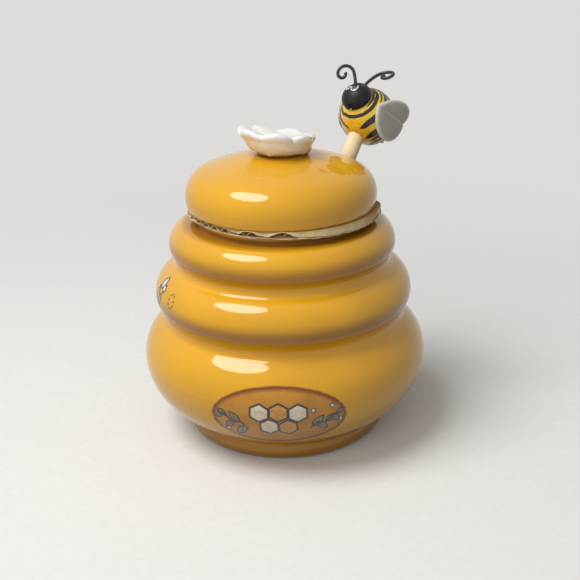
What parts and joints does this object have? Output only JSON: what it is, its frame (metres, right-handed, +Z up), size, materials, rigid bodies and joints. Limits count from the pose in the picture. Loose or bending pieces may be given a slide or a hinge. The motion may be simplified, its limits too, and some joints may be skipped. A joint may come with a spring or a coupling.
{
  "type": "honey pot",
  "caption": "Beehive-shaped glazed ceramic honey pot with a lift-off slotted lid, a daisy knob, a wooden dipper topped by a bee, and a corrugated board packing ring under the lid.",
  "frame": {"origin": "on the axis of the pot, on the surface that it stands on", "axes": "+Z up; -Y towards the painted front; the dipper leans out at 35 degrees from +X towards +Y"},
  "size_m": [0.138, 0.138, 0.1718],
  "materials": {
    "honey_glaze": "glossy honey-yellow glaze",
    "white_glaze": "glossy white glaze",
    "yellow_glaze": "glossy hand-painted yellow",
    "black_glaze": "glossy black",
    "grey_glaze": "satin grey-white glaze",
    "pale_wood": "unfinished turned hardwood",
    "kraft_board": "plain kraft paper",
    "black_wire": "black coated iron wire"
  },
  "bodies": {
    "pot": {"pot_body": "honey_glaze"},
    "packing": {"packing_liner_bottom": "kraft_board", "packing_flutes": "kraft_board", "packing_liner_top": "kraft_board"},
    "lid": {"lid_shell": "honey_glaze", "flower_knob": "white_glaze"},
    "dipper": {"dipper_stick": "pale_wood", "dipper_head": "pale_wood", "bee_body": "yellow_glaze", "bee_head": "black_glaze", "bee_wing_near": "grey_glaze", "bee_wing_far": "grey_glaze", "bee_antenna_near": "black_wire", "bee_antenna_far": "black_wire"}
  },
  "joints": [
    {"name": "packing_lift", "type": "slide", "parent": "pot", "child": "packing", "axis": [0, 0, 1], "range_m": [0, 0.03]},
    {"name": "lid_lift", "type": "slide", "parent": "packing", "child": "lid", "axis": [0, 0, 1], "range_m": [0, 0.12]},
    {"name": "dipper_pull", "type": "slide", "parent": "lid", "child": "dipper", "axis": [0.3934, 0.2754, 0.8771], "range_m": [0, 0.055]}
  ]
}
